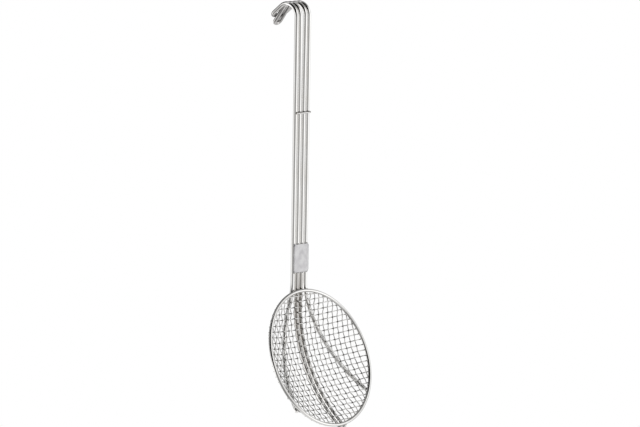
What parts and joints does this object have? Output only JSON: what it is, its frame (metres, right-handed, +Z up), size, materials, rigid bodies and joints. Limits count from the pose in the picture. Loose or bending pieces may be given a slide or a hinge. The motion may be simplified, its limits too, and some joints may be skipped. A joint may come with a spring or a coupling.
{
  "type": "wire skimmer",
  "caption": "Long-handled wire skimmer: a shallow dish of woven wire in a round rim, carried by parallel steel rods that run under the dish and bend into a hanging hook.",
  "frame": {"origin": "seat of the hanging hook: the middle of the rods' bend on its inner side, where a rail bears", "axes": "+Z up along the handle, +X across the rods and along the rail, +Y to the back, so the bowl opens to -Y"},
  "size_m": [0.165, 0.1105, 0.4906],
  "materials": {
    "handle_wire": "bright polished heavy wire",
    "rim_wire": "bright round wire ring",
    "tie_wire": "bright wire with welds to the rods",
    "plate": "satin sheet, left bare",
    "mesh_wire": "crimped bright wire"
  },
  "bodies": {
    "root": {"outer_handle_wire": "handle_wire", "inner_handle_wire": "handle_wire", "cross_tie": "tie_wire", "rim_ring": "rim_wire", "name_plate": "plate", "long_mesh_wire_01": "mesh_wire", "long_mesh_wire_02": "mesh_wire", "long_mesh_wire_03": "mesh_wire", "long_mesh_wire_04": "mesh_wire", "long_mesh_wire_05": "mesh_wire", "long_mesh_wire_06": "mesh_wire", "long_mesh_wire_07": "mesh_wire", "long_mesh_wire_08": "mesh_wire", "long_mesh_wire_09": "mesh_wire", "long_mesh_wire_10": "mesh_wire", "long_mesh_wire_11": "mesh_wire", "long_mesh_wire_12": "mesh_wire", "long_mesh_wire_13": "mesh_wire", "long_mesh_wire_14": "mesh_wire", "long_mesh_wire_15": "mesh_wire", "long_mesh_wire_16": "mesh_wire", "long_mesh_wire_17": "mesh_wire", "long_mesh_wire_18": "mesh_wire", "long_mesh_wire_19": "mesh_wire", "long_mesh_wire_20": "mesh_wire", "long_mesh_wire_21": "mesh_wire", "long_mesh_wire_22": "mesh_wire", "long_mesh_wire_23": "mesh_wire", "long_mesh_wire_24": "mesh_wire", "cross_mesh_wire_01": "mesh_wire", "cross_mesh_wire_02": "mesh_wire", "cross_mesh_wire_03": "mesh_wire", "cross_mesh_wire_04": "mesh_wire", "cross_mesh_wire_05": "mesh_wire", "cross_mesh_wire_06": "mesh_wire", "cross_mesh_wire_07": "mesh_wire", "cross_mesh_wire_08": "mesh_wire", "cross_mesh_wire_09": "mesh_wire", "cross_mesh_wire_10": "mesh_wire", "cross_mesh_wire_11": "mesh_wire", "cross_mesh_wire_12": "mesh_wire", "cross_mesh_wire_13": "mesh_wire", "cross_mesh_wire_14": "mesh_wire", "cross_mesh_wire_15": "mesh_wire", "cross_mesh_wire_16": "mesh_wire", "cross_mesh_wire_17": "mesh_wire", "cross_mesh_wire_18": "mesh_wire", "cross_mesh_wire_19": "mesh_wire", "cross_mesh_wire_20": "mesh_wire", "cross_mesh_wire_21": "mesh_wire", "cross_mesh_wire_22": "mesh_wire", "cross_mesh_wire_23": "mesh_wire", "cross_mesh_wire_24": "mesh_wire", "cross_mesh_wire_25": "mesh_wire"}
  },
  "joints": []
}
